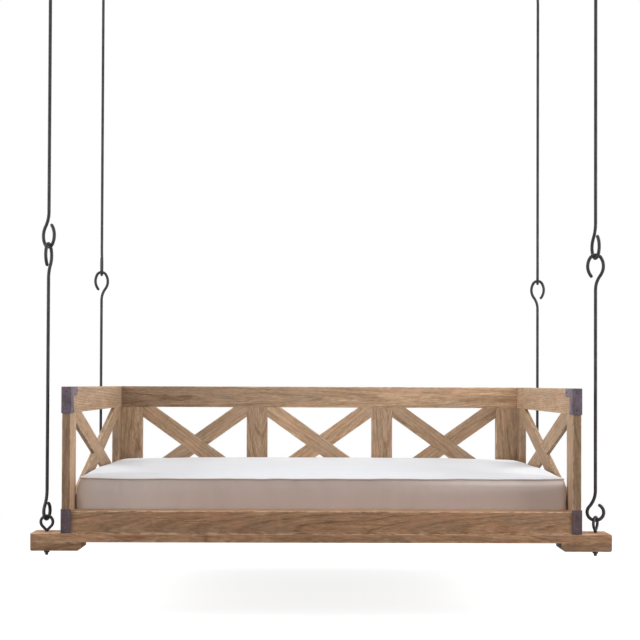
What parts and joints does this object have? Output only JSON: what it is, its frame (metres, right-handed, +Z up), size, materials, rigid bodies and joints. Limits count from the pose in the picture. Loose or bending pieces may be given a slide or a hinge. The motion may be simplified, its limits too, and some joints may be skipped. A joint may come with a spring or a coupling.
{
  "type": "hanging swing bed",
  "caption": "Timber daybed with crossed-brace panels and a mattress, hung at its corners from the ceiling on hooked forged rods.",
  "frame": {"origin": "on the ceiling plane, midway between the four ceiling eyes", "axes": "+X along the seat to the right seen from the front, +Y towards the back panel, +Z up"},
  "size_m": [2.209, 1.1215, 2.736],
  "materials": {
    "panel_timber": "matte",
    "front_timber": "matte",
    "forged_iron": "satin",
    "bracket_iron": "matte",
    "mattress_cover": "matte"
  },
  "bodies": {
    "ceiling": {"ceiling_eye_front_left": "forged_iron", "ceiling_eye_front_right": "forged_iron", "ceiling_eye_back_left": "forged_iron", "ceiling_eye_back_right": "forged_iron"},
    "rod_front_left": {"upper_rod_front_left": "forged_iron", "lower_rod_front_left": "forged_iron"},
    "rod_front_right": {"upper_rod_front_right": "forged_iron", "lower_rod_front_right": "forged_iron"},
    "rod_back_left": {"upper_rod_back_left": "forged_iron", "lower_rod_back_left": "forged_iron"},
    "rod_back_right": {"upper_rod_back_right": "forged_iron", "lower_rod_back_right": "forged_iron"},
    "bed": {"eyebolt_front_left": "forged_iron", "eyebolt_front_right": "forged_iron", "eyebolt_back_left": "forged_iron", "eyebolt_back_right": "forged_iron", "end_block_front_left": "front_timber", "end_block_front_right": "front_timber", "end_block_back_left": "front_timber", "end_block_back_right": "front_timber", "left_front_stile": "panel_timber", "left_rear_stile": "panel_timber", "left_top_rail": "panel_timber", "left_bottom_rail": "panel_timber", "left_brace_falling": "panel_timber", "left_brace_rising": "panel_timber", "right_front_stile": "panel_timber", "right_rear_stile": "panel_timber", "right_top_rail": "panel_timber", "right_bottom_rail": "panel_timber", "right_brace_falling": "panel_timber", "right_brace_rising": "panel_timber", "back_stile_1": "panel_timber", "back_stile_2": "panel_timber", "back_stile_3": "panel_timber", "back_stile_4": "panel_timber", "back_brace_1_falling": "panel_timber", "back_brace_1_rising": "panel_timber", "back_brace_2_falling": "panel_timber", "back_brace_2_rising": "panel_timber", "back_brace_3_falling": "panel_timber", "back_brace_3_rising": "panel_timber", "upper_bracket_left": "bracket_iron", "lower_bracket_left": "bracket_iron", "upper_bracket_right": "bracket_iron", "lower_bracket_right": "bracket_iron", "back_top_rail": "panel_timber", "back_bottom_rail": "panel_timber", "front_rail": "front_timber", "front_beam": "front_timber", "back_beam": "front_timber", "front_ledger": "panel_timber", "back_ledger": "panel_timber", "slats": "panel_timber", "eye_washers": "forged_iron", "eye_nuts": "forged_iron", "bracket_screws": "bracket_iron", "post_lag_screws": "forged_iron", "frame_screws": "forged_iron", "mattress": "mattress_cover"}
  },
  "joints": [
    {"name": "swing", "type": "hinge", "parent": "ceiling", "child": "rod_front_left", "pos_m": [-1.053, -0.514, -0.04775], "axis": [1, 0, 0], "range_deg": [-20, 20]},
    {"name": "swing_front_right", "type": "hinge", "parent": "ceiling", "child": "rod_front_right", "pos_m": [1.053, -0.514, -0.06], "axis": [1, 0, 0], "range_deg": [-20, 20]},
    {"name": "swing_back_left", "type": "hinge", "parent": "ceiling", "child": "rod_back_left", "pos_m": [-1.053, 0.514, -0.06], "axis": [1, 0, 0], "range_deg": [-20, 20]},
    {"name": "swing_back_right", "type": "hinge", "parent": "ceiling", "child": "rod_back_right", "pos_m": [1.053, 0.514, -0.06], "axis": [1, 0, 0], "range_deg": [-20, 20]},
    {"name": "bed_level", "type": "hinge", "parent": "rod_front_left", "child": "bed", "pos_m": [-1.053, -0.514, -2.5125], "axis": [1, 0, 0], "range_deg": [-20, 20]}
  ],
  "couplings": [
    {"joint": "swing_front_right", "follows": "swing", "ratio": 1},
    {"joint": "swing_back_left", "follows": "swing", "ratio": 1},
    {"joint": "swing_back_right", "follows": "swing", "ratio": 1},
    {"joint": "bed_level", "follows": "swing", "ratio": -1}
  ]
}
